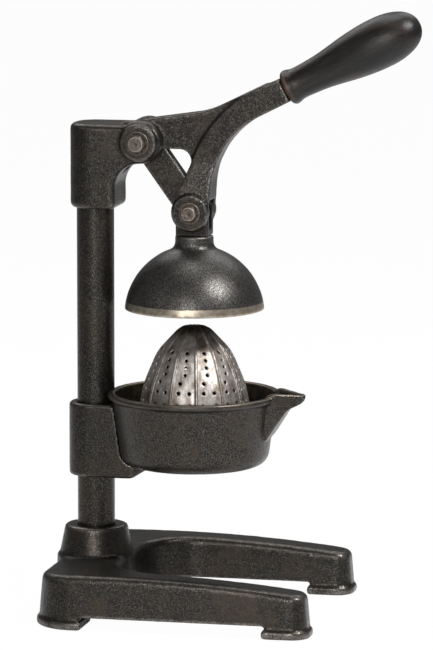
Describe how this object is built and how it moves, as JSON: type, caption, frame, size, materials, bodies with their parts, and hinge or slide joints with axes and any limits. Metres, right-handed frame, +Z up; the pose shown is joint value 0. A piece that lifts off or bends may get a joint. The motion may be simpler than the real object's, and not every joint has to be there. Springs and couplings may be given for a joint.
{
  "type": "lever citrus juice press",
  "caption": "Upright lever juice press: U-shaped cast base, round column, forked lever with wooden grip, hanging dome, fluted cone in a spouted bowl.",
  "frame": {"origin": "on the bench, under the middle of the whole press", "axes": "+Z up along the column, +X from the column towards the spout and the grip, +Y to the back, away from the bolt heads"},
  "size_m": [0.2986, 0.2178, 0.4887],
  "materials": {
    "iron": "dark sand-cast, worn brown at the edges",
    "column_steel": "dark oxidised bar",
    "bolt_steel": "worn, brown patina",
    "bush_brass": "satin",
    "grip_wood": "dark stain, glossy varnish",
    "bowl_iron": "dark outside, brown worn inside",
    "cone_metal": "worn satin with brown patina"
  },
  "bodies": {
    "stand": {"base": "iron", "column": "column_steel", "column_bolt": "bolt_steel", "column_bolt_washer": "bolt_steel", "head": "iron", "head_set_screw": "bolt_steel", "head_lock_nut": "bolt_steel", "pivot_bolt": "bolt_steel", "pivot_front_washer": "bolt_steel", "pivot_back_washer": "bolt_steel", "pivot_nut": "bolt_steel"},
    "lever": {"lever_arm": "iron", "brace_link": "iron", "pivot_bush": "bush_brass", "lower_pivot_bolt": "bolt_steel", "lower_front_washer": "bolt_steel", "lower_back_washer": "bolt_steel", "lower_pivot_nut": "bolt_steel", "handle_stud": "bolt_steel", "handle_grip": "grip_wood"},
    "dome": {"press_dome": "iron", "dome_yoke": "iron", "dome_bushes": "bush_brass", "yoke_set_screw": "bolt_steel"},
    "carrier": {"bowl_bracket": "iron"},
    "clamp": {"clamp_screw": "bolt_steel"},
    "bowl": {"juice_bowl": "bowl_iron", "bowl_peg": "bolt_steel"},
    "cone": {"reamer_cone": "cone_metal"}
  },
  "joints": [
    {"name": "lever_pivot", "type": "hinge", "parent": "stand", "child": "lever", "pos_m": [-0.0761, 0, 0.3796], "axis": [0, -1, 0], "range_deg": [0, 60]},
    {"name": "dome_swing", "type": "hinge", "parent": "lever", "child": "dome", "pos_m": [-0.0357, 0, 0.3235], "axis": [0, -1, 0], "range_deg": [-60, 0]},
    {"name": "bracket_slide", "type": "slide", "parent": "stand", "child": "carrier", "axis": [0, 0, 1], "range_m": [-0.03, 0.03]},
    {"name": "clamp_turn", "type": "hinge", "parent": "carrier", "child": "clamp", "pos_m": [-0.1171, 0.022, 0.137], "axis": [0, 1, 0], "range_deg": [0, 360]},
    {"name": "bowl_lift", "type": "slide", "parent": "carrier", "child": "bowl", "axis": [0, 0, 1], "range_m": [0, 0.01]},
    {"name": "cone_lift", "type": "slide", "parent": "bowl", "child": "cone", "axis": [0, 0, 1], "range_m": [0, 0.01]}
  ],
  "couplings": [
    {"joint": "dome_swing", "follows": "lever_pivot", "ratio": -1}
  ]
}
